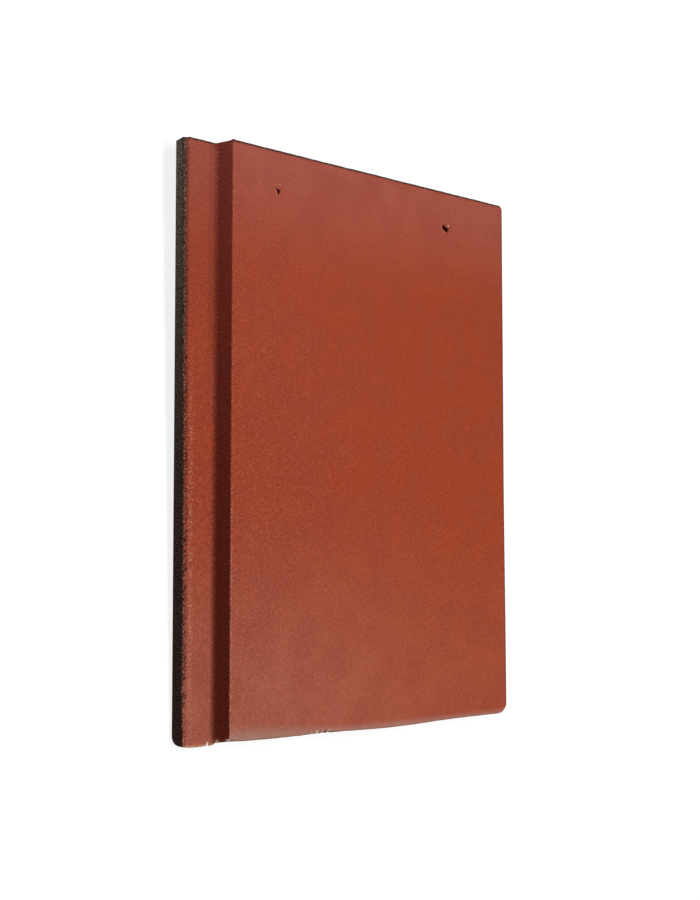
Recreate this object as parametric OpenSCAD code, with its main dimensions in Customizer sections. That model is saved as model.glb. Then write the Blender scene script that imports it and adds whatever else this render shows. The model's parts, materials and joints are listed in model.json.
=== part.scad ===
// Flat interlocking roof tile of coated concrete, lying face up.
// X runs across the tile from the underlock to the overlock, Y from the nose to the head, and Z up.
// The origin is under the middle of the tile, on the plane of the nibs' tips. The modules below measure Z from
// the underside of the flange, and the finished tile is raised by the reach of its nibs.

/* [Tile] */
// Length from the nose to the head
tile_length = 420; // [300:1:480]
// Width from the outer edge of the underlock to the edge of the overlock
tile_width = 330; // [300:1:420]
// Thickness of the flat slab, which is also the height of the riser
slab_thickness = 16; // [13:0.5:22]
// Radius of the long edges of the face
face_arris = 1; // [0.5:0.25:2]
// Radius of the edge between the face and the nose
nose_arris = 2; // [0.5:0.25:4]
// Radius of the round-over along the underside of the nose
nose_round = 10; // [3:0.5:10]
// Radius of the corner between nose and overlock, seen from above
nose_corner_radius = 11; // [4:0.5:16]
// Radius of the corner between head and overlock, seen from above
head_corner_radius = 5; // [2:0.5:12]

/* [Underlock] */
// Width of the underlock flange from its outer edge to the riser
underlock_width = 28.5; // [24:0.5:36]
// Thickness of the underlock flange, which is also the depth of the weather bars
underlock_thickness = 11; // [10.5:0.5:16]
// Radius of the outer edges of the flange
underlock_arris = 1.25; // [0.5:0.25:4]
// Radius of the water channel at the foot of the riser
channel_radius = 4; // [3:0.5:8]
// Width of the flat land under the riser
riser_land = 14; // [8:0.5:24]
// Run of the slope from that land up to the underside of the slab
riser_slope = 9; // [4:0.5:16]

/* [Overlock] */
// Gap at the face between two tiles laid side by side
lap_gap = 1.5; // [0.5:0.25:4]
// Clearance around the neighbour's underlock
lap_clearance = 1; // [0.5:0.25:2]
// Number of grooves that stop water creeping through the lap
groove_count = 2; // [1:1:3]
// Width of a groove at its mouth
groove_width = 4.5; // [2:0.25:6]
// Depth of a groove
groove_depth = 3; // [1:0.25:5]
// Distance from groove to groove
groove_pitch = 8; // [6.5:0.25:10]

/* [Hanging nibs] */
// Number of nibs
nib_count = 2; // [1:1:3]
// Distance from nib to nib
nib_spacing = 150; // [90:1:160]
// Width of a nib
nib_width = 46; // [24:1:64]
// Length of a nib at its root
nib_length = 18; // [10:0.5:20]
// How much shorter a nib is at its tip
nib_taper = 6; // [1:0.25:9]
// How much narrower a nib is on each side at its tip
nib_draft = 3; // [1:0.25:6]
// Distance from the head to the root of a nib
nib_setback = 4; // [1:0.5:6]
// How far a nib reaches below the flange to hook over the batten
nib_reach = 9; // [6:0.5:14]

/* [Weather bars] */
// Number of bars across the underside, with the one along the nose
bar_count = 3; // [1:1:4]
// Width of the bar along the nose
nose_bar_width = 18; // [14:0.5:26]
// Width of each other bar at its tip
bar_width = 7; // [4:0.5:12]
// How much wider a bar is on each side at its root
bar_flare = 3; // [1:0.25:5]
// Radius of the edges of a bar's tip
bar_round = 2; // [0.5:0.25:2]
// Distance from bar to bar
bar_pitch = 28; // [24:0.5:40]

/* [Nail holes] */
// Diameter of a nail hole
nail_hole_diameter = 6; // [4:0.25:8]
// Distance from the head to the nail holes
nail_hole_setback = 30; // [28:0.5:60]
// Distance from the riser to the first nail hole
nail_hole_inset = 45; // [32:1:70]
// Distance between the nail holes
nail_hole_spacing = 185; // [120:1:200]

/* [Hidden] */
$fn = 64;
// How far joined shapes run into each other and cutters run past a surface
bite = 2;
total_height = underlock_thickness + slab_thickness;
left_x = -tile_width / 2;
right_x = tile_width / 2;
nose_y = -tile_length / 2;
head_y = tile_length / 2;
riser_x = left_x + underlock_width;
land_x = riser_x + riser_land;
slope_x = land_x + riser_slope;
// The neighbour's underlock lies under the slab from here to the right edge
lap_x = right_x + lap_gap - underlock_width - lap_clearance;
lap_z = underlock_thickness + lap_clearance;
groove_middle_x = (lap_x + right_x - channel_radius) / 2;
nib_middle_x = (slope_x + lap_x) / 2;

// Corner at the origin, pointing into +x and +y, less the quarter circle that rounds it
module corner(radius) {
  difference() {
    translate([-bite, -bite])
      square(radius + bite);
    translate([radius, radius])
      circle(radius);
  }
}

// Groove of the lap, open downwards at y = 0, with a round roof
module groove() {
  translate([0, groove_depth - groove_width / 2])
    circle(groove_width / 2);
  translate([-groove_width / 2, -bite])
    square([groove_width, groove_depth - groove_width / 2 + bite]);
}

// Section across the tile, seen from the nose
module section() {
  difference() {
    union() {
      translate([riser_x, underlock_thickness])
        square([right_x - riser_x, slab_thickness]);
      polygon([
        [left_x, 0],
        [land_x, 0],
        [slope_x, underlock_thickness],
        [slope_x, underlock_thickness + bite],
        [riser_x, underlock_thickness + bite],
        [riser_x, underlock_thickness],
        [left_x, underlock_thickness],
      ]);
      translate([riser_x, underlock_thickness])
        mirror([1, 0])
          corner(channel_radius);
    }
    translate([left_x, 0])
      corner(underlock_arris);
    translate([left_x, underlock_thickness])
      mirror([0, 1])
        corner(underlock_arris);
    translate([riser_x, total_height])
      mirror([0, 1])
        corner(face_arris);
    translate([right_x, total_height])
      rotate(180)
        corner(face_arris);
    translate([lap_x, underlock_thickness - bite])
      square([right_x - lap_x + bite, lap_clearance + bite]);
    translate([right_x, lap_z])
      mirror([1, 0])
        corner(channel_radius);
    for (i = [0:groove_count - 1])
      translate([groove_middle_x + (i - (groove_count - 1) / 2) * groove_pitch, lap_z])
        groove();
  }
}

// Extrudes a side outline, drawn in Y and Z, across the tile
module across(from_x, to_x) {
  translate([from_x, 0, 0])
    rotate([90, 0, 90])
      linear_extrude(to_x - from_x)
        children();
}

// Outline of the tile seen from its side, down to the tips of the nibs
module side_outline() {
  difference() {
    translate([nose_y, -nib_reach - bite])
      square([tile_length, nib_reach + bite + total_height]);
    translate([nose_y, 0])
      corner(nose_round);
    translate([nose_y, total_height])
      mirror([0, 1])
        corner(nose_arris);
  }
}

// Profile of a weather bar about its middle, with its tip at the bottom
module bar(width) {
  root_z = underlock_thickness + bite;
  half = width / 2;
  difference() {
    polygon([
      [-half, 0],
      [half, 0],
      [half, bar_round],
      [half + bar_flare, root_z],
      [-half - bar_flare, root_z],
      [-half, bar_round],
    ]);
    for (side = [0, 1])
      mirror([side, 0])
        translate([-half, 0])
          corner(bar_round);
  }
}

// Bar along the nose, then the free bars behind it
module weather_bars() {
  across(riser_x + riser_land / 2, lap_x)
    for (i = [0:bar_count - 1])
      translate([nose_y + nose_bar_width / 2 + i * bar_pitch, 0])
        bar(i == 0 ? nose_bar_width : bar_width);
}

// Nib that hooks over the batten: the side towards the nose is upright, and the other sides slope
module hanging_nib() {
  root_y = head_y - nib_setback;
  bearing_y = root_y - nib_length;
  root_z = underlock_thickness + bite;
  half = nib_width / 2;
  intersection() {
    across(-half, half)
      polygon([
        [bearing_y, -nib_reach],
        [root_y - nib_taper, -nib_reach],
        [root_y, underlock_thickness],
        [root_y, root_z],
        [bearing_y, root_z],
      ]);
    translate([0, head_y, 0])
      rotate([90, 0, 0])
        linear_extrude(nib_setback + nib_length + bite)
          polygon([
            [-half + nib_draft, -nib_reach],
            [half - nib_draft, -nib_reach],
            [half, underlock_thickness],
            [half, root_z],
            [-half, root_z],
            [-half, underlock_thickness],
          ]);
  }
}

module hanging_nibs() {
  for (i = [0:nib_count - 1])
    translate([nib_middle_x + (i - (nib_count - 1) / 2) * nib_spacing, 0, 0])
      hanging_nib();
}

module nail_holes() {
  for (i = [0:1])
    translate([riser_x + nail_hole_inset + i * nail_hole_spacing, head_y - nail_hole_setback, 0])
      cylinder(d = nail_hole_diameter, h = total_height + bite);
}

// Rounded corners of the overlock side, cut from above
module corner_cuts() {
  translate([right_x, nose_y, -bite])
    mirror([1, 0, 0])
      linear_extrude(total_height + 2 * bite)
        corner(nose_corner_radius);
  translate([right_x, head_y, -bite])
    rotate(180)
      linear_extrude(total_height + 2 * bite)
        corner(head_corner_radius);
}

module tile() {
  color([0.6, 0.26, 0.17])
    translate([0, 0, nib_reach])
      difference() {
        intersection() {
          union() {
            translate([0, head_y + bite, 0])
              rotate([90, 0, 0])
                linear_extrude(tile_length + 2 * bite)
                  section();
            weather_bars();
            hanging_nibs();
          }
          across(left_x - bite, right_x + bite)
            side_outline();
        }
        corner_cuts();
        nail_holes();
      }
}

tile();
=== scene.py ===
import json
import math

import bmesh
import bpy
from mathutils import Matrix, Quaternion, Vector, noise


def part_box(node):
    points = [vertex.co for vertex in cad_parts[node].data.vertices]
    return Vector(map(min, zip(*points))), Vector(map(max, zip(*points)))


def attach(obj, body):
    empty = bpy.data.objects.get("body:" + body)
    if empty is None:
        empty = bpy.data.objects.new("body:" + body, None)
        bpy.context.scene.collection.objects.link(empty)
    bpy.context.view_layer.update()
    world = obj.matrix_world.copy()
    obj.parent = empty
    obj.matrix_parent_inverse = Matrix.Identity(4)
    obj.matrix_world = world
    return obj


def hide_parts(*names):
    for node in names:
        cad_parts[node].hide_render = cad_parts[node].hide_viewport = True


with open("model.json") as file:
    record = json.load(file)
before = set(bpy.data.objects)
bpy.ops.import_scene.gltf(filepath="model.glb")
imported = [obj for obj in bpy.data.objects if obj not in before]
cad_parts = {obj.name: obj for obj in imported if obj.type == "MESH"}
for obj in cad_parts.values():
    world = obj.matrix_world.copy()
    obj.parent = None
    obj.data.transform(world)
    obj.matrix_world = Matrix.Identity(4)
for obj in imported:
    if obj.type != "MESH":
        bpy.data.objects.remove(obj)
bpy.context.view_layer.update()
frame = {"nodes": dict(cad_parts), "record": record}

MM = 0.001
# Points closer than WELD are one point, and places closer than SLACK count as the same
WELD = MM / 1000
SLACK = MM / 100

# Places on the tile, all read from the frame
cad_mesh = frame["nodes"]["tile"].data
low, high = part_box("tile")
mounts = {m["name"]: Vector(m["pos_m"]) for m in frame["record"]["mounts"]}
face_z = high.z
flange_z = mounts["underlock"].z
rest_z = mounts["flange_underside"].z
nib_edge_y = mounts["nib_left"].y
nail_holes = [mounts["nail_hole_left"], mounts["nail_hole_right"]]
hole_radius = MM * next(m["dims"]["r_mm"] for m in frame["record"]["mounts"] if m["kind"] == "bore")
arris_x = min(v.co.x for v in cad_mesh.vertices if v.co.z > face_z - SLACK)
riser_x = min(v.co.x for v in cad_mesh.vertices if v.co.z > (face_z + flange_z) / 2)
flange_points = [v.co for v in cad_mesh.vertices if v.co.x < riser_x - SLACK]
channel_radius = riser_x - max(p.x for p in flange_points if abs(p.z - flange_z) < SLACK)
nose_radius = min(p.y for p in flange_points if abs(p.z - rest_z) < SLACK) - low.y

# Camera, from the straight edges of the tile in the photograph
IMAGE_HEIGHT = 900
FOCAL_PIXELS = 1585
SENSOR = 36
camera_place = Vector((-0.8626, -0.0832, 0.8594))
camera_aim = Vector((-0.0179, -0.0028, face_z))
camera_roll = math.radians(-0.056)

# How finely the visible skin is divided
EDGE_BAND = 10 * MM
LIP_BAND = 6 * MM
LIP_DROP = 3.5 * MM
ARRIS_BAND = 1.5 * MM
END_BAND = 4 * MM
HOLE_BAND = 9 * MM
FINE_STEP = 0.5 * MM
FLANGE_STEP = 2.5 * MM
FACE_STEP = 5 * MM
SIDE_STEP = 3 * MM
STRIP_PARTS = 4
LIP_PARTS = 2
END_PARTS = 5
FLAT_ANGLE = math.radians(0.5)
SHARP_ANGLE = math.radians(45)
# Upward parts of the normals of upright faces and of level ones
UPRIGHT_SLOPE = 0.3
LEVEL_SLOPE = 0.9


def clamp(value):
    return min(1.0, max(0.0, value))


def smooth(start, end, value):
    t = clamp((value - start) / (end - start))
    return t * t * (3 - 2 * t)


def between(start, full, fade, end, value):
    return smooth(start, full, value) * smooth(end, fade, value)


def hump(value, middle, width):
    return math.exp(-(((value - middle) / width) ** 2))


def blend(first, last, share):
    return first + (last - first) * share


def lumps(point, size, seed):
    """Soft noise from -1 to 1 whose lumps are about size across."""
    return noise.noise(point / size + Vector((seed, 1.7 * seed, 2.3 * seed)))


def steps(*legs):
    """Places along one leg after the other; a leg is its start, its end and about how far apart they are."""
    places = [legs[0][0]]
    for start, end, step in legs:
        count = max(1, round((end - start) / step))
        places += [start + (end - start) * (i + 1) / count for i in range(count)]
    return places


def divide(mesh, axis, places, inside):
    """Cuts the faces whose middle is inside() by planes across an axis, from the lowest on."""
    across = Vector([i == axis for i in range(3)])
    todo = [f for f in mesh.faces if inside(f.calc_center_bounds(), f.normal)]
    for place in places:
        parts = {v for f in todo for v in f.verts} | {e for f in todo for e in f.edges} | set(todo)
        found = bmesh.ops.bisect_plane(
            mesh, geom=list(parts), dist=WELD, plane_co=across * place, plane_no=across
        )
        faces = [f for f in found["geom"] if isinstance(f, bmesh.types.BMFace)]
        todo = [f for f in faces if f.calc_center_bounds()[axis] > place]


def split_edges(mesh, axis, parts, inside):
    """Splits the edges along an axis into equal parts where both ends are inside()."""
    chosen = []
    for edge in mesh.edges:
        a, b = (v.co for v in edge.verts)
        if abs(abs((b - a).normalized()[axis]) - 1) < 1e-3 and inside(a) and inside(b):
            chosen.append(edge)
    bmesh.ops.subdivide_edges(mesh, edges=chosen, cuts=parts - 1)


def divided_skin():
    """The solid's own surface, cut into small faces where fine shape shows."""
    mesh = bmesh.new()
    mesh.from_mesh(cad_mesh)
    bmesh.ops.remove_doubles(mesh, verts=mesh.verts, dist=WELD)
    bmesh.ops.dissolve_limit(mesh, angle_limit=FLAT_ANGLE, verts=mesh.verts, edges=mesh.edges)
    lip_middle = low.x + LIP_BAND
    lip_end = low.x + EDGE_BAND
    under = flange_z - 2 * LIP_DROP
    arris_start = riser_x - ARRIS_BAND
    arris_end = arris_x + ARRIS_BAND
    right_start = high.x - EDGE_BAND
    nose_end = low.y + END_BAND
    head_start = high.y - END_BAND

    def seen(middle, normal):
        return normal.z > -UPRIGHT_SLOPE

    def upright(middle, normal):
        return abs(normal.z) < UPRIGHT_SLOPE

    columns = steps(
        (low.x, lip_middle, FINE_STEP),
        (lip_middle, lip_end, 2 * FINE_STEP),
        (lip_end, arris_start, FLANGE_STEP),
        (arris_start, arris_end, FINE_STEP),
        (arris_end, right_start, FACE_STEP),
        (right_start, high.x, 2 * FINE_STEP),
    )
    rows = steps(
        (low.y, nose_end, FINE_STEP),
        (nose_end, head_start, FACE_STEP),
        (head_start, high.y, FINE_STEP),
    )
    divide(mesh, 0, columns, seen)
    divide(mesh, 2, steps((rest_z, face_z, SIDE_STEP)), upright)
    divide(mesh, 1, rows, seen)
    for hole in nail_holes:

        def around(middle, normal):
            away = max(abs(middle.x - hole.x), abs(middle.y - hole.y))
            level = normal.z > LEVEL_SLOPE and middle.z > flange_z + MM
            return level and away < HOLE_BAND + FACE_STEP / 2

        for axis in (0, 1):
            places = steps((hole[axis] - HOLE_BAND, hole[axis] + HOLE_BAND, FINE_STEP))
            divide(mesh, axis, places, around)
    split_edges(mesh, 1, STRIP_PARTS, lambda p: p.x < arris_end + SLACK and p.z > under)
    split_edges(mesh, 1, LIP_PARTS, lambda p: p.x < lip_middle + SLACK and p.z > under)
    split_edges(mesh, 0, END_PARTS, lambda p: p.y < nose_end + SLACK and p.z > under)
    split_edges(mesh, 0, END_PARTS, lambda p: p.y > head_start - SLACK and p.z > under)
    bmesh.ops.triangulate(mesh, faces=[f for f in mesh.faces if len(f.verts) > 4])
    mesh.normal_update()
    return mesh


# Each feature of the skin below takes a point of the plain solid and its normal. It gives how far the point
# moves, how scuffed it is there, and how much soil and painted shade darken it there, from 0 to 1. Noise is
# given by its size and a seed, and a hump by its middle and width.
PLAIN = (Vector(), 0.0, 0.0)

# Broad waves of the face: size and height
FACE_WAVES = [(60 * MM, 0.16 * MM), (18 * MM, 0.06 * MM)]
WAVE_SEED = 3.1


def unevenness(p, n):
    """Broad waves of a wet-cast face."""
    return sum(height * lumps(p, size, WAVE_SEED) for size, height in FACE_WAVES) * n, 0.0, 0.0


# Lip along the flange's outer edge. A pair of values is for the head and for the nose.
LIP_CHANGE = (high.y - 90 * MM, low.y + 150 * MM)
LIP_HEIGHT = 0.7 * MM
LIP_OVERHANG = (0.9 * MM, 0.5 * MM)
OVERHANG_END = 4 * MM
BEAD = (1.0 * MM, 0.8 * MM)
BEAD_LEVEL = 0.7
BEAD_NOISE = (3 * MM, 6.6)
BEAD_WEAR = (0.5, 0.8)
RAGGED = 0.35 * MM
RAGGED_NOISE = (2.5 * MM, 2.7)
# Slashes across the lip, which start below the head and are fewer on the clean stretch at the nose
SLASH = (2.0 * MM, 1.7 * MM)
SLASH_DEPTH = 0.9 * MM
SLASH_NOISE = (0.95 * MM, 1.3)
SLASH_CUT = (0.04, 0.28)
SLASH_SHARE = (0.55, 1.0)
SLASH_TURN = math.radians(30)
SLASH_STRETCH = 0.22
SLASH_SHADE = 1.5
SLASH_START = (high.y - 55 * MM, high.y - 75 * MM)
CLEAN_STRETCH = (low.y + 60 * MM, low.y + 10 * MM)
CLEAN_SLASH = 0.45
CLEAN_SHADE = 0.3
# Groove behind the bead, and the crumbled band behind that: where it starts, is full, fades and ends
GROOVE = (2.8 * MM, 1.6 * MM)
GROOVE_DEPTH = 0.36 * MM
CRUMBLED = (3.5 * MM, 5 * MM, 7 * MM, EDGE_BAND)
CRUMBLED_WEAR = (0.06, 0.38)
CRINKLE = 0.35 * MM
CRINKLE_NOISE = (1.4 * MM, 5.5)
# Painted shade along the groove behind the bead: its middle and width, then its share at the head and at the
# nose
LIP_SHADE = (1.5 * MM, 2.2 * MM)
LIP_SHADE_SHARE = (0.6, 0.4)


def slash_place(across, along):
    """Place on the lip, turned and drawn out along the slashes."""
    turned = Matrix.Rotation(-SLASH_TURN, 2) @ Vector((across, along))
    return Vector((SLASH_STRETCH * turned.x, turned.y, 0))


def flange_lip(p, n):
    """Lip squeezed out over the flange's outer edge, slashed aslant, with a crumbled band behind it, and
    painted shade in the slashes and along the groove.
    """
    across = p.x - low.x
    if across > EDGE_BAND or p.z < flange_z - LIP_DROP:
        return PLAIN
    place = slash_place(across, p.y)
    toward_nose = smooth(*LIP_CHANGE, p.y)
    clean = smooth(*CLEAN_STRETCH, p.y)
    top = smooth(flange_z - LIP_DROP, flange_z - LIP_DROP / 3, p.z)
    slash = smooth(*SLASH_CUT, lumps(place, *SLASH_NOISE)) * hump(across, *SLASH)
    slash *= blend(*SLASH_SHARE, toward_nose) * smooth(*SLASH_START, p.y) * (1 - CLEAN_SLASH * clean)
    bead = hump(across, *BEAD) * (1 - slash) * BEAD_LEVEL * (1 + lumps(place, *BEAD_NOISE))
    groove = hump(across, *GROOVE)
    band = between(*CRUMBLED, across)
    crinkle = CRINKLE * lumps(place, *CRINKLE_NOISE) * (band + groove)
    out = blend(*LIP_OVERHANG, toward_nose) + RAGGED * lumps(place, *RAGGED_NOISE)
    out *= top * smooth(OVERHANG_END, 0, across)
    lift = LIP_HEIGHT * bead - SLASH_DEPTH * slash - GROOVE_DEPTH * groove + crinkle
    wear = blend(*BEAD_WEAR, toward_nose) * bead + blend(*CRUMBLED_WEAR, toward_nose) * band
    # Painted shade: dark in the slashes and along the groove, less on the clean stretch at the nose
    soil_and_shade = (blend(*LIP_SHADE_SHARE, toward_nose) - CLEAN_SHADE * clean) * hump(across, *LIP_SHADE)
    soil_and_shade = max(SLASH_SHADE * slash, soil_and_shade)
    return Vector((-out, 0, lift * top)), wear * top, soil_and_shade * top


STAIN = 0.42
STAIN_REACH = 8 * MM


def side_stain(p, n):
    """Brown stain from the coat down the upper part of the flange's raw side."""
    stain = smooth(flange_z - STAIN_REACH, flange_z - MM, p.z) * (p.z < flange_z) * (p.x < low.x + MM)
    return Vector(), 0.0, STAIN * stain


# Rounds of the flange: how far they are pushed out, and over which stretch at the head for the channel
NOSE_PUSH = 1.8 * MM
CHANNEL_PUSH = 1.3 * MM
CHANNEL_STRETCH = 12 * MM
ROUND_SLACK = 0.1


def fuller_round(p, middle, radius):
    """Push, most half way along the arc, for a point of a round given by its middle in two coordinates."""
    arm = p - middle
    if abs(arm.length - radius) > ROUND_SLACK * radius:
        return Vector((0, 0))
    return arm.normalized() * math.sin(2 * math.atan2(arm.y, arm.x)) ** 2


def flange_curves(p, n):
    """Tighter channel at the head end of the riser's foot, and a fuller round under the flange's nose."""
    channel = Vector((riser_x - channel_radius, flange_z + channel_radius))
    nose = Vector((low.y + nose_radius, rest_z + nose_radius))
    if channel.x <= p.x <= riser_x and flange_z <= p.z <= channel.y:
        push = CHANNEL_PUSH * fuller_round(Vector((p.x, p.z)), channel, channel_radius)
        push *= smooth(high.y - CHANNEL_STRETCH, high.y, p.y)
        return Vector((push.x, 0, push.y)), 0.0, 0.0
    if p.x < riser_x and p.y < nose.x and p.z < nose.y:
        push = NOSE_PUSH * fuller_round(Vector((p.y, p.z)), nose, nose_radius)
        return Vector((0, push.x, push.y)), 0.0, 0.0
    return PLAIN


# Edge between the riser and the face
RISER_LEAN = 1.5 * MM
ARRIS_RAGGED = 0.7 * RAGGED
ARRIS_NOISE = (4 * MM, 7.7)
# Nicks: noise, and between which of its values they deepen
NICKS = [((6 * MM, 6.1), (0.3, 0.7)), ((2.2 * MM, 9.3), (0.4, 0.8))]
NICK_DEPTH = 0.8 * MM
NICK_SLOPE = 0.6
ARRIS_LINE = (riser_x + 0.9 * MM, 1.1 * MM)
ARRIS_LINE_START = (riser_x, riser_x + 0.7 * MM)
ARRIS_WEAR = 0.4
ARRIS_WEAR_SPREAD = 0.25
ARRIS_WEAR_NOISE = (2.5 * MM, 3.9)
ARRIS_WEAR_CHANGE = (100 * MM, -100 * MM)
ARRIS_WEAR_SHARE = (0.35, 1.0)
BELOW_ARRIS = (face_z - 1.6 * MM, 1.0 * MM)
RISER_FACE = (riser_x, 0.5 * MM)
BELOW_SOIL = 0.3


def riser_edge(p, n):
    """Riser leaning in toward the head, and its worn, slightly nicked edge, darker just under it."""
    foot_z = flange_z + channel_radius
    lean = RISER_LEAN * (p.y - low.y) / (high.y - low.y) * max(0.0, (p.z - foot_z) / (face_z - foot_z))
    lean = Vector((lean * hump(max(0.0, p.x - riser_x), 0, 2 * ARRIS_BAND), 0, 0))
    away = math.hypot(p.x - riser_x, p.z - face_z)
    if away > 2 * ARRIS_BAND:
        return lean, 0.0, 0.0
    along = Vector((0, p.y, 0))
    nick = sum(smooth(*cut, lumps(along, *spots)) for spots, cut in NICKS)
    shift = ARRIS_RAGGED * lumps(along, *ARRIS_NOISE) + NICK_DEPTH * nick
    wear = smooth(*ARRIS_LINE_START, p.x) * hump(p.x, *ARRIS_LINE)
    wear *= ARRIS_WEAR + ARRIS_WEAR_SPREAD * lumps(along, *ARRIS_WEAR_NOISE)
    wear *= blend(*ARRIS_WEAR_SHARE, smooth(*ARRIS_WEAR_CHANGE, p.y))
    soil_and_shade = BELOW_SOIL * hump(p.z, *BELOW_ARRIS) * hump(p.x, *RISER_FACE)
    return lean + hump(away, 0, ARRIS_BAND) * Vector((shift, 0, -NICK_SLOPE * shift)), wear, soil_and_shade


# Chips along the edge of the nose: place across the tile, half length and depth
NOSE_CHIPS = [
    (-39.3 * MM, 2.4 * MM, 1.6 * MM),
    (-44.6 * MM, 2.2 * MM, 1.2 * MM),
    (-53 * MM, 6 * MM, 0.5 * MM),
]
# Roughness of a chip, pale where it is high and soiled where it is low
CHIP_NOISE = (1.6 * MM, 1.1)
CHIP_ROUGH = 0.6
CHIP_SPREAD = 0.8
CHIP_PALE = 0.5
CHIP_SOILED = 0.4
CHIP_BARE = 2.6 * MM
CHIP_WEAR = (0.82, 1.8)
CHIP_SOIL = 1.6
CHIP_DROP = 0.5
# Soft bows of the face's nose edge, out (-) and in (+): place across the tile, half length and depth
NOSE_BOWS = [
    (-136 * MM, 8 * MM, 1.3 * MM),
    (-125 * MM, 20 * MM, 0.6 * MM),
    (30 * MM, 45 * MM, -1.5 * MM),
]
# Burr along the flange's nose edge
NOSE_BURR = 2.3 * MM
BURR_START = (low.x - 10 * MM, low.x + 10 * MM)
BURR_END = (riser_x + 3 * MM, riser_x - 4 * MM)
BOW_REACH = 4 * MM
# Flaked coat at the nose end of the riser's foot: where it starts, is full, fades and ends across the tile
FLAKED = (riser_x - 8 * MM, riser_x - 6 * MM, arris_x, arris_x + 2 * MM)
FLAKE_REACH = (low.y + 3.6 * MM, low.y + 1.4 * MM)
FLAKE_NOISE = (2.6 * MM, 5.8)
FLAKE_CUT = (-0.15, 0.05)
FLAKE_DEPTH = 0.5 * MM
# Raggedness of both ends, and how its noise and the reach of the nose edge are drawn out upwards
END_EDGE = 1.6 * MM
NOSE_STRETCH = 0.6
END_STRETCH = 0.5
END_RAGGED = 0.6 * RAGGED
END_NOISE = (4 * MM, 4.9)
# Corner of the flange worn back at the head, on top and below, and how far the face comes out there
CORNER_WORN = 1.6 * MM
CORNER_TOP = (low.x + 4 * MM, low.x)
CORNER_BELOW = (low.x + 3 * MM, low.x)
CORNER_REACH = 3 * MM
HEAD_OUT = 0.3 * MM
RISER_OUT = 0.4 * MM
RISER_TOP = (riser_x + MM, 2 * MM)
# Pale edges of the nose on the face and on the flange, and the dark line along the head
FACE_EDGE_WEAR = 0.3
FLANGE_EDGE_WEAR = 0.75
WORN_EDGE = 2.2 * MM
HEAD_LINE = 1.3 * MM


def end_edges(p, n):
    """Ragged edges at the two ends, with chips along the nose and at the foot of the riser."""
    on_face = p.x > riser_x - MM
    top_z = face_z if on_face else flange_z
    along = Vector((p.x, 0, END_STRETCH * p.z))
    shift = END_RAGGED * lumps(along, *END_NOISE)

    nose = math.hypot(p.y - low.y, NOSE_STRETCH * (p.z - top_z))
    near_nose = hump(nose, 0, END_EDGE)
    bow = sum(depth * hump(p.x, x, half) for x, half, depth in NOSE_BOWS) * on_face
    bow -= NOSE_BURR * smooth(*BURR_START, p.x) * smooth(*BURR_END, p.x) * (not on_face)
    chip = max(depth * hump(p.x, x, half) for x, half, depth in NOSE_CHIPS)
    bare = max(hump(p.x, x, half) for x, half, depth in NOSE_CHIPS) * hump(nose, 0, CHIP_BARE)
    rough = CHIP_ROUGH + CHIP_SPREAD * lumps(along, *CHIP_NOISE)
    flake = between(*FLAKED, p.x) * smooth(*FLAKE_REACH, p.y)
    flake *= smooth(*FLAKE_CUT, lumps(along, *FLAKE_NOISE))
    move_y = near_nose * (shift + chip * rough + FLAKE_DEPTH * flake) + hump(nose, 0, BOW_REACH) * bow
    move_z = -near_nose * (CHIP_DROP * chip + FLAKE_DEPTH * flake)

    head = math.hypot(p.y - high.y, p.z - top_z)
    worn = CORNER_WORN * smooth(*CORNER_TOP, p.x) - RISER_OUT * hump(p.x, *RISER_TOP) - HEAD_OUT * on_face
    below = CORNER_WORN * smooth(*CORNER_BELOW, p.x) * smooth(flange_z, rest_z, p.z) * (p.z < flange_z)
    move_y -= hump(head, 0, END_EDGE) * (shift + worn) + hump(p.y, high.y, CORNER_REACH) * below

    edge = (FACE_EDGE_WEAR if on_face else FLANGE_EDGE_WEAR) * hump(nose, 0, WORN_EDGE)
    most, share = CHIP_WEAR
    wear = max(flake, min(most, share * bare) * (rough > CHIP_PALE), edge)
    soil_and_shade = max(hump(head, 0, HEAD_LINE), CHIP_SOIL * bare * (rough < CHIP_SOILED))
    return Vector((0, move_y, move_z)), wear, soil_and_shade


OVERLOCK_FLARE = 1.2 * MM
OVERLOCK_LINE = 1.7 * MM
OVERLOCK_SHADE = 0.8


def overlock_edge(p, n):
    """Edge between the face and the overlock side: a dark line of painted shade that runs out a little toward
    the nose.
    """
    away = math.hypot(p.x - high.x, p.z - face_z)
    flare = OVERLOCK_FLARE * smooth(0, low.y, p.y) * smooth(high.x - EDGE_BAND, high.x, p.x)
    return Vector((flare, 0, 0)), 0.0, OVERLOCK_SHADE * hump(away, 0, OVERLOCK_LINE)


# Mouths of the nail holes: corners about each hole, in millimetres across and along the tile
MOUTHS = [
    [(-3.3, 2.7), (2.0, 1.7), (0.3, -2.7)],
    [(-5.6, 3.8), (-2.1, 3.6), (0.3, 2.0), (3.3, 0.7), (0.2, -2.6), (-5.6, 0.2)],
]
MOUTH_DEPTH = 6 * MM
# Crumbs left beside each mouth: place about the hole and radius in millimetres, and how bare they are
CRUMBS = [
    [(0.8, 5.3, 1.4, 0.5)],
    [(1.4, 3.2, 1.1, 0.95), (-1.3, 5.8, 1.4, 0.5)],
]
CRUMB_HEIGHT = 1.2 * MM
# Rim pushed up round a mouth, most on one side
RIM_OUT = 1.2 * MM
RIM_WIDTH = 1.1 * MM
RIM_SIDE = math.radians(200)
RIM_NOISE = (1.6 * MM, 2.2)
# Lift and wear of the rim: on that side, and what the noise adds all round
RIM_LIFT = (0.4 * MM, 0.25 * MM)
RIM_WEAR = (0.45, 0.1)


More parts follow.
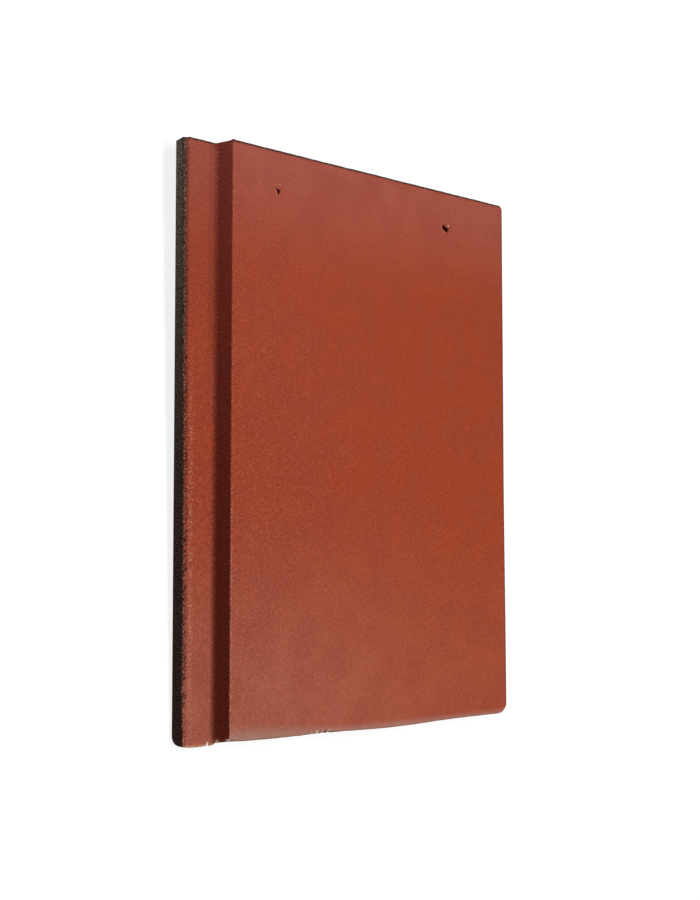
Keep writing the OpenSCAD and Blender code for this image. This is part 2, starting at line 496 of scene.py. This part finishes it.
def mouth_radius(corners, angle):
    """Distance from the middle of a hole to its mouth in one direction."""
    ray = Vector((math.cos(angle), math.sin(angle)))
    best = hole_radius
    for i, corner in enumerate(corners):
        a = Vector(corner) * MM
        side = Vector(corners[i - 1]) * MM - a
        turn = ray.x * side.y - ray.y * side.x
        if abs(turn) < 1e-9:
            continue
        reach = (a.x * side.y - a.y * side.x) / turn
        share = (a.x * ray.y - a.y * ray.x) / turn
        if reach > 0 and 0 <= share <= 1:
            best = reach
    return best


def nail_mouth(p, n):
    """Torn mouth of a nail hole: an uneven opening, a rim pushed up on the underlock side, and crumbs."""
    depth = smooth(face_z - MOUTH_DEPTH, face_z, p.z)
    for hole, corners, crumbs in zip(nail_holes, MOUTHS, CRUMBS):
        flat = Vector((p.x - hole.x, p.y - hole.y))
        if depth == 0 or flat.length > HOLE_BAND or flat.length < MM:
            continue
        angle = math.atan2(flat.y, flat.x)
        mouth = mouth_radius(corners, angle)
        room = (HOLE_BAND - mouth) / (HOLE_BAND - hole_radius)
        radius = mouth + (flat.length - hole_radius) * room
        torn = flat.normalized() * radius
        rim = hump(radius, mouth + RIM_OUT, RIM_WIDTH) * depth
        left = max(0.0, math.cos(angle - RIM_SIDE))
        lump = lumps(p, *RIM_NOISE)
        lift = rim * (RIM_LIFT[0] * left + RIM_LIFT[1] * lump)
        wear = rim * (RIM_WEAR[0] * left + RIM_WEAR[1] * lump)
        for x, y, size, bare in crumbs:
            crumb = bare * hump((torn - Vector((x, y)) * MM).length, 0, size * MM) * depth
            lift += CRUMB_HEIGHT * crumb
            wear = max(wear, crumb)
        return ((torn - flat) * depth).to_3d() + Vector((0, 0, lift)), wear, 0.0
    return PLAIN


FEATURES = [
    unevenness,
    flange_lip,
    side_stain,
    flange_curves,
    riser_edge,
    end_edges,
    overlock_edge,
    nail_mouth,
]


def relief(p, n):
    """Where a point of the plain solid goes, how scuffed it is there, and how much soil and painted shade
    darken it.
    """
    move = Vector()
    scuff = 0.0
    dirt_and_shade = 0.0
    for feature in FEATURES:
        offset, wear, soil_and_shade = feature(p, n)
        move += offset
        scuff = max(scuff, wear)
        dirt_and_shade = max(dirt_and_shade, soil_and_shade)
    return move, scuff, dirt_and_shade


# Where the coat ends: inward from the flange's outer edge and from the head, and down a nail hole
COAT_START = (low.x + 0.3 * MM, low.x + 1.2 * MM)
COAT_END = (high.y, high.y - 1.2 * MM)
BORE_COAT = (flange_z, flange_z + 4 * MM)
# Coat blown over the top of the flange's raw side
SPRAY = 0.2
# How far a normal has to point up, out of the riser or out of the nose for the coat to start and to be full
FACING_UP = (-0.1, 0.4)
FACING_OUT = (0.3, 0.6)
FACING_NOSE = (0.3, 0.7)


def coat_share(p, n):
    """How far the colour coat reaches: full on what faces up, the riser and the nose, none on the rest."""
    up = smooth(*FACING_UP, n.z) * smooth(*COAT_START, p.x) * smooth(*COAT_END, p.y)
    riser = smooth(*FACING_OUT, -n.x) * (p.z > flange_z - MM) * (p.x > low.x + EDGE_BAND)
    spray = SPRAY * smooth(flange_z - LIP_DROP, flange_z - MM, p.z) * (p.x < low.x + MM)
    nose = smooth(*FACING_NOSE, -n.y) * smooth(rest_z, flange_z, p.z) * (p.y < low.y + END_BAND)
    away = min((Vector((p.x, p.y)) - Vector((hole.x, hole.y))).length for hole in nail_holes)
    bore = smooth(hole_radius + MM, hole_radius, away) * smooth(*BORE_COAT, p.z)
    return max(up, riser, spray, nose, bore)


def build_tile(material):
    mesh = divided_skin()
    places = [(v.co.copy(), v.normal.copy()) for v in mesh.verts]
    changes = [relief(p, n) for p, n in places]
    for vert, (move, scuff, dirt_and_shade) in zip(mesh.verts, changes):
        vert.co += move
    for face in mesh.faces:
        face.smooth = True
    data = bpy.data.meshes.new("tile_skin")
    mesh.to_mesh(data)
    mesh.free()
    values = {
        "coat": [coat_share(p, n) for p, n in places],
        "up": [clamp(n.z) for p, n in places],
        "wear": [clamp(scuff) for move, scuff, dirt_and_shade in changes],
        "soil_and_shade": [clamp(dirt_and_shade) for move, scuff, dirt_and_shade in changes],
    }
    for name, value in values.items():
        data.attributes.new(name, "FLOAT", "POINT").data.foreach_set("value", value)
    data.set_sharp_from_angle(angle=SHARP_ANGLE)
    data.materials.append(material)
    tile = bpy.data.objects.new("tile_skin", data)
    bpy.context.scene.collection.objects.link(tile)
    return tile


class Nodes:
    """Adds shader nodes to one node tree and links them as they are made."""

    def __init__(self, tree):
        self.tree = tree
        self.place = None

    def add(self, kind, **settings):
        node = self.tree.nodes.new(kind)
        for name, value in settings.items():
            setattr(node, name, value)
        return node

    def join(self, value, socket):
        if isinstance(value, bpy.types.NodeSocket):
            self.tree.links.new(value, socket)
        else:
            socket.default_value = value

    def shader(self, kind, **values):
        node = self.add(kind)
        for name, value in values.items():
            self.join(value, node.inputs[name])
        return node

    def coordinates(self):
        """Sets the place that noise reads, in the object's own frame, and gives its X and Y."""
        self.place = self.add("ShaderNodeTexCoord").outputs["Object"]
        split = self.add("ShaderNodeSeparateXYZ")
        self.join(self.place, split.inputs[0])
        return split.outputs["X"], split.outputs["Y"]

    def stretched(self, scale, turn):
        """Places turned about the vertical, then scaled along each axis."""
        turned = self.add("ShaderNodeVectorRotate", rotation_type="Z_AXIS")
        self.join(self.place, turned.inputs["Vector"])
        self.join(turn, turned.inputs["Angle"])
        node = self.add("ShaderNodeVectorMath", operation="MULTIPLY")
        self.join(turned.outputs["Vector"], node.inputs[0])
        self.join(scale, node.inputs[1])
        return node.outputs["Vector"]

    def noise(self, size, detail, roughness=0.5, place=None):
        node = self.add("ShaderNodeTexNoise")
        self.join(place or self.place, node.inputs["Vector"])
        self.join(1 / size, node.inputs["Scale"])
        self.join(detail, node.inputs["Detail"])
        self.join(roughness, node.inputs["Roughness"])
        return node.outputs["Fac"]

    def attribute(self, name):
        return self.add("ShaderNodeAttribute", attribute_name=name).outputs["Fac"]

    def math(self, operation, a, b):
        node = self.add("ShaderNodeMath", operation=operation)
        self.join(a, node.inputs[0])
        self.join(b, node.inputs[1])
        return node.outputs[0]

    def times(self, first, *others):
        for other in others:
            first = self.math("MULTIPLY", first, other)
        return first

    def ramp(self, value, start, end, first=0.0, last=1.0):
        node = self.add("ShaderNodeMapRange", interpolation_type="SMOOTHSTEP")
        for socket, item in zip(node.inputs, (value, start, end, first, last)):
            self.join(item, socket)
        return node.outputs["Result"]

    def mix(self, share, first, second):
        node = self.add("ShaderNodeMix", data_type="RGBA")
        self.join(share, node.inputs["Factor"])
        for item, socket in ((first, "A"), (second, "B")):
            color = item if isinstance(item, bpy.types.NodeSocket) else (*item, 1)
            self.join(color, next(i for i in node.inputs if i.name == socket and i.type == "RGBA"))
        return next(o for o in node.outputs if o.type == "RGBA")

    def bump(self, height, distance, normal=None):
        node = self.add("ShaderNodeBump")
        self.join(height, node.inputs["Height"])
        self.join(distance, node.inputs["Distance"])
        if normal:
            self.join(normal, node.inputs["Normal"])
        return node.outputs["Normal"]

    def background(self):
        """One for the rays that show the background: the camera's, reflected ones and those through glass."""
        path = self.add("ShaderNodeLightPath").outputs
        reflected = self.math("MAXIMUM", path["Is Glossy Ray"], path["Is Transmission Ray"])
        return self.math("MAXIMUM", path["Is Camera Ray"], reflected)

    def show(self, shown, other, output):
        """Puts out one shader for the rays that show the background, and the other one for all the rest."""
        choice = self.add("ShaderNodeMixShader")
        self.join(self.background(), choice.inputs[0])
        self.join(other.outputs[0], choice.inputs[1])
        self.join(shown.outputs[0], choice.inputs[2])
        self.join(choice.outputs[0], self.tree.nodes[output].inputs["Surface"])


# Colours of the coat: two blotches, light and dark grain, painted shade, and painted shade with a grey sheen
# for upright faces
COAT_RED = (0.318, 0.044, 0.0095)
COAT_PLUM = (0.298, 0.043, 0.014)
COAT_LIGHT = (0.46, 0.085, 0.030)
COAT_DARK = (0.24, 0.029, 0.006)
COAT_PAINTED_SHADE = (0.08, 0.012, 0.004)
COAT_UPRIGHT_SHADE = (0.09, 0.042, 0.058)
# Painted sheen, as a pale bloom on the coat: all over, at the head, at the nose and along the nose edge
PAINTED_SHEEN = (0.70, 0.50, 0.72)
HEAD_SHEEN = (0.60, 0.50, 0.54)
NOSE_SHEEN = (0.70, 0.48, 0.38)
RIM_SHEEN = (0.39, 0.36, 0.31)
# Shares of those: painted shade on the flange, at the right, at the riser's foot and on upright faces, then
# painted sheen. A pair is for the left and right of the tile, and the rim's reach is measured in from the
# nose.
FLANGE_SHADE = 0.12
RIGHT_SHADE = 0.075
FOOT_SHADE = 0.3
UPRIGHT_SHADE_SHARE = 0.35
SHEEN_SHARE = (0.014, 0.002)
HEAD_SHARE = 0.055
NOSE_SHARE = (0.1, 0.035)
RIM_SHARE = (0.36, 0.27)
RIM_REACH = (low.y + 14 * MM, low.y + 5.5 * MM)
# Colours of the concrete: sand grains, dull patches, and sand grains with painted shade for the darker nose
# end
RAW_DARK = (0.032, 0.022, 0.018)
RAW_LIGHT = (0.30, 0.235, 0.195)
RAW_DULL = (0.09, 0.069, 0.058)
NOSE_SHADE_DARK = (0.016, 0.006, 0.005)
NOSE_SHADE_LIGHT = (0.145, 0.07, 0.06)
# Colours of scuffs, from slight to bare, and of soil and painted shade, from thin to thick
SCUFF_PINK = (0.46, 0.17, 0.115)
SCUFF_TAN = (0.48, 0.28, 0.18)
# The bare cream is pale concrete brightened further as a painted highlight, for the flakes at the riser's
# foot
SCUFF_CREAM_AND_HIGHLIGHT = (0.95, 0.78, 0.66)
GRIME_AND_SHADE = (0.06, 0.028, 0.018)
DIRT_AND_SHADE = (0.045, 0.009, 0.005)
# Sizes of the patterns, how the grain and the flecks are drawn out, and depths of the bumps
BLOTCH_SIZE = 30 * MM
MOTTLE_SIZE = 5 * MM
GRAIN_SIZE = 1.3 * MM
GRAIN_STRETCH = (0.7, 1.0, 1.0)
GRAIN_TURN = math.radians(-25)
GRAIN_BUMP = 1.2 * MM
FLECK_SIZE = 1.1 * MM
FLECK_STRETCH = (0.6, 1.0, 1.0)
FLECK_STRENGTH = 2.6
SAND_SIZE = 1.1 * MM
SAND_BUMP = 0.2 * MM
SAND_CUT = (0.4, 0.66)
# Surface of the bare concrete and of the coat
RAW_ROUGHNESS = 0.9
COAT_ROUGHNESS = 0.4
GLOSS = 0.05


def coat_color(nodes, across, along, blotch, grain):
    """Grained red coat, paler toward the ends by painted sheen, darker by painted shade by the riser, at the
    right and on upright faces.
    """
    up = nodes.attribute("up")
    patchy = nodes.ramp(blotch, 0.3, 0.7, 1.25, 0.75)
    flange_start = riser_x - FLANGE_STEP
    coat = nodes.mix(nodes.ramp(blotch, 0.38, 0.62), COAT_RED, COAT_PLUM)
    coat = nodes.mix(nodes.ramp(grain, 0.02, 0.24, 0, 0.6), coat, COAT_LIGHT)
    coat = nodes.mix(nodes.ramp(grain, -0.02, -0.24, 0, 0.75), coat, COAT_DARK)

    # Painted shade: the flange darker toward the head, the right side darker toward the head, and a soft
    # painted shadow on the flange beside the riser's foot in the head half
    flange = nodes.ramp(across, arris_x, flange_start, 0, FLANGE_SHADE)
    shade = nodes.times(nodes.ramp(along, 0, high.y), flange)
    right = nodes.ramp(across, 20 * MM, high.x, 0, RIGHT_SHADE)
    right = nodes.times(right, nodes.ramp(along, -100 * MM, high.y, 0.2, 1))
    foot = nodes.ramp(across, riser_x - 10 * MM, riser_x - 5 * MM, 0, FOOT_SHADE)
    foot = nodes.times(foot, nodes.ramp(across, riser_x, flange_start), nodes.ramp(along, 0, high.y / 2))
    shade = nodes.math("MAXIMUM", nodes.math("MAXIMUM", shade, right), foot)
    coat = nodes.mix(shade, coat, COAT_PAINTED_SHADE)

    # Painted sheen on what faces up: faint all over and thinning to the right, stronger at the head, at the
    # lower left and along the face's nose edge
    sheen = nodes.ramp(across, low.x, high.x, *SHEEN_SHARE)
    coat = nodes.mix(nodes.times(sheen, up), coat, PAINTED_SHEEN)
    head = nodes.ramp(along, high.y - 100 * MM, high.y, 0, HEAD_SHARE)
    head = nodes.times(head, patchy, nodes.ramp(across, arris_x, flange_start, 1, 0.75))
    coat = nodes.mix(nodes.times(head, up), coat, HEAD_SHEEN)
    nose = nodes.ramp(along, -20 * MM, low.y)
    nose = nodes.times(nose, nodes.ramp(across, low.x, high.x, *NOSE_SHARE), patchy)
    coat = nodes.mix(nodes.times(nose, up), coat, NOSE_SHEEN)
    reach = nodes.ramp(across, riser_x, 0, *RIM_REACH)
    rim = nodes.ramp(along, reach, low.y, 0, nodes.ramp(across, riser_x, 0, *RIM_SHARE))
    rim = nodes.times(rim, nodes.ramp(across, riser_x, arris_x), nodes.ramp(up, 0, 0.5))
    coat = nodes.mix(rim, coat, RIM_SHEEN)
    # Painted shade, with a grey sheen, on upright faces such as the riser
    return nodes.mix(nodes.ramp(up, 0.2, 0.8, UPRIGHT_SHADE_SHARE, 0), coat, COAT_UPRIGHT_SHADE)


def raw_color(nodes, along, sand):
    """Sandy concrete, darker and browner toward the nose by painted shade."""
    mottle = nodes.noise(MOTTLE_SIZE, 3.0)
    raw = nodes.mix(nodes.ramp(sand, *SAND_CUT), RAW_DARK, RAW_LIGHT)
    raw = nodes.mix(nodes.ramp(mottle, 0.35, 0.65, 0.5, 0), raw, RAW_DULL)
    shaded = nodes.mix(nodes.ramp(sand, *SAND_CUT), NOSE_SHADE_DARK, NOSE_SHADE_LIGHT)
    # Painted shade: the concrete darkens toward the nose
    return nodes.mix(nodes.ramp(along, high.y, low.y / 2, 0, 0.85), raw, shaded)


def tile_material():
    """Red coat over dark grey sand concrete, scuffed to a pale pink along the edges."""
    material = bpy.data.materials.new("coated_concrete")
    material.use_nodes = True
    nodes = Nodes(material.node_tree)
    shader = material.node_tree.nodes["Principled BSDF"]
    across, along = nodes.coordinates()
    blotch = nodes.noise(BLOTCH_SIZE, 3.0)
    sand = nodes.noise(SAND_SIZE, 2.0)
    grain = nodes.noise(GRAIN_SIZE, 2.0, 0.5, nodes.stretched(GRAIN_STRETCH, GRAIN_TURN))
    fleck = nodes.noise(FLECK_SIZE, 2.0, 0.6, nodes.stretched(FLECK_STRETCH, -SLASH_TURN))
    fleck = nodes.times(nodes.math("SUBTRACT", fleck, 0.5), FLECK_STRENGTH)
    coarse = nodes.ramp(along, high.y, low.y / 2, 0.6, 0.95)
    coarse = nodes.times(coarse, nodes.ramp(across, 0, riser_x - ARRIS_BAND, 1.0, 1.4))
    grain = nodes.times(nodes.math("SUBTRACT", grain, 0.5), coarse)

    broken = nodes.ramp(sand, 0.3, 0.7, -0.25, 0.25)
    coated = nodes.ramp(nodes.math("ADD", nodes.attribute("coat"), broken), 0.4, 0.6)
    coat = coat_color(nodes, across, along, blotch, grain)
    color = nodes.mix(coated, raw_color(nodes, along, sand), coat)

    wear = nodes.attribute("wear")
    pale = nodes.mix(nodes.ramp(wear, 0.5, 0.7), SCUFF_PINK, SCUFF_TAN)
    pale = nodes.mix(nodes.ramp(wear, 0.7, 1.0), pale, SCUFF_CREAM_AND_HIGHLIGHT)
    pale_fleck = nodes.times(fleck, nodes.ramp(wear, 0, 0.2, 0.7, 1))
    color = nodes.mix(nodes.ramp(nodes.math("ADD", wear, pale_fleck), 0.35, 0.65), color, pale)

    soil_and_shade = nodes.attribute("soil_and_shade")
    # Soil darkens the stain and the chips, and painted shade darkens the lip's groove and slashes and the
    # overlock edge. The head line and the band under the riser's edge are darkened as well.
    color = nodes.mix(nodes.ramp(soil_and_shade, 0, 0.8, 0, 0.75), color, GRIME_AND_SHADE)
    color = nodes.mix(nodes.ramp(nodes.math("SUBTRACT", soil_and_shade, fleck), 0.55, 0.85), color, DIRT_AND_SHADE)

    nodes.join(color, shader.inputs["Base Color"])
    nodes.join(nodes.ramp(coated, 0, 1, RAW_ROUGHNESS, COAT_ROUGHNESS), shader.inputs["Roughness"])
    nodes.join(GLOSS, shader.inputs["Specular IOR Level"])
    normal = nodes.bump(sand, SAND_BUMP, nodes.bump(grain, GRAIN_BUMP))
    nodes.join(normal, shader.inputs["Normal"])
    return material


# Floor: half its size, its gap below the tile, and how much it scatters, glows and throws back
FLOOR_HALF = 6.0
FLOOR_GAP = MM / 10
FLOOR_SCATTER = 0.22
FLOOR_GLOW = 0.83
FLOOR_BOUNCE = 0.2
# Light from all round
AMBIENT = 0.16
# Two large lamps overhead: place along the tile and level of each, then what they share
KEY_LAMPS = [("key_head", 2.2, 0.42), ("key_nose", -1.0, 0.57)]
KEY_ACROSS = 0.85
KEY_HEIGHT = 5.4
KEY_SIZE = (1.3, 2.4)
# Small lamp beside the head end of the flange
SIDE_PLACE = Vector((-0.38, 0.55, 0.045))
SIDE_SIZE = (0.2, 0.06)
SIDE_LEVEL = 0.65
WHITE = (1, 1, 1, 1)


def grey(level):
    return (level, level, level, 1)


def floor_material():
    """White to the eye, with the shadow kept, and a mid grey for the light it throws back."""
    material = bpy.data.materials.new("floor")
    material.use_nodes = True
    nodes = Nodes(material.node_tree)
    material.node_tree.nodes.remove(material.node_tree.nodes["Principled BSDF"])
    scatter = nodes.shader("ShaderNodeBsdfDiffuse", Color=grey(FLOOR_SCATTER))
    glow = nodes.shader("ShaderNodeEmission", Strength=FLOOR_GLOW)
    shown = nodes.add("ShaderNodeAddShader")
    nodes.join(scatter.outputs[0], shown.inputs[0])
    nodes.join(glow.outputs[0], shown.inputs[1])
    bounce = nodes.shader("ShaderNodeBsdfDiffuse", Color=grey(FLOOR_BOUNCE))
    nodes.show(shown, bounce, "Material Output")
    return material


def build_floor():
    """Level with how the tile rests: on the tips of its nibs and on the underside of its nose."""
    front = [v.co for v in cad_mesh.vertices if v.co.y < 0]
    slope = min(p.z / (nib_edge_y - p.y) for p in front)
    ends = [
        (-FLOOR_HALF, -FLOOR_HALF),
        (FLOOR_HALF, -FLOOR_HALF),
        (FLOOR_HALF, FLOOR_HALF),
        (-FLOOR_HALF, FLOOR_HALF),
    ]
    corners = [(x, y, (nib_edge_y - y) * slope - FLOOR_GAP) for x, y in ends]
    data = bpy.data.meshes.new("floor")
    data.from_pydata(corners, [], [(0, 1, 2, 3)])
    data.materials.append(floor_material())
    floor = bpy.data.objects.new("floor", data)
    bpy.context.scene.collection.objects.link(floor)


def add_lamp(name, place, aim, turn, size, level):
    """A soft lamp that gives a face turned to it, at its aim, that share of full light."""
    toward = aim - place
    facing = turn @ Vector((0, 0, -1))
    data = bpy.data.lights.new(name, "AREA")
    data.shape = "RECTANGLE"
    data.size, data.size_y = size
    data.energy = level * (math.pi * toward.length) ** 2 / facing.dot(toward.normalized())
    lamp = bpy.data.objects.new(name, data)
    lamp.matrix_world = Matrix.Translation(place) @ turn.to_matrix().to_4x4()
    bpy.context.scene.collection.objects.link(lamp)


def build_light():
    world = bpy.data.worlds.new("studio")
    world.use_nodes = True
    bpy.context.scene.world = world
    nodes = Nodes(world.node_tree)
    ambient = world.node_tree.nodes["Background"]
    nodes.join(WHITE, ambient.inputs["Color"])
    nodes.join(AMBIENT, ambient.inputs["Strength"])
    nodes.show(nodes.shader("ShaderNodeBackground", Color=WHITE), ambient, "World Output")
    centre = Vector((0, 0, face_z))
    straight_down = Quaternion()
    for name, along, level in KEY_LAMPS:
        place = Vector((KEY_ACROSS, along, KEY_HEIGHT))
        add_lamp(name, place, centre, straight_down, KEY_SIZE, level)
    flange_head = Vector((riser_x, high.y, flange_z))
    turn = (flange_head - SIDE_PLACE).to_track_quat("-Z", "Y")
    add_lamp("head_side", SIDE_PLACE, flange_head, turn, SIDE_SIZE, SIDE_LEVEL)


def build_camera():
    data = bpy.data.cameras.new("camera")
    data.sensor_width = SENSOR
    data.lens = FOCAL_PIXELS / IMAGE_HEIGHT * SENSOR
    forward = (camera_aim - camera_place).normalized()
    right = forward.cross(Vector((0, 1, 0))).normalized()
    turn = Matrix((right, right.cross(forward), -forward)).transposed()
    turn = turn @ Matrix.Rotation(camera_roll, 3, "Z")
    camera = bpy.data.objects.new("camera", data)
    camera.matrix_world = Matrix.Translation(camera_place) @ turn.to_4x4()
    bpy.context.scene.collection.objects.link(camera)
    bpy.context.scene.camera = camera


build_camera()
build_floor()
build_light()
tile = build_tile(tile_material())
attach(tile, "root")
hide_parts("tile")
bpy.context.scene.view_settings.view_transform = "Standard"
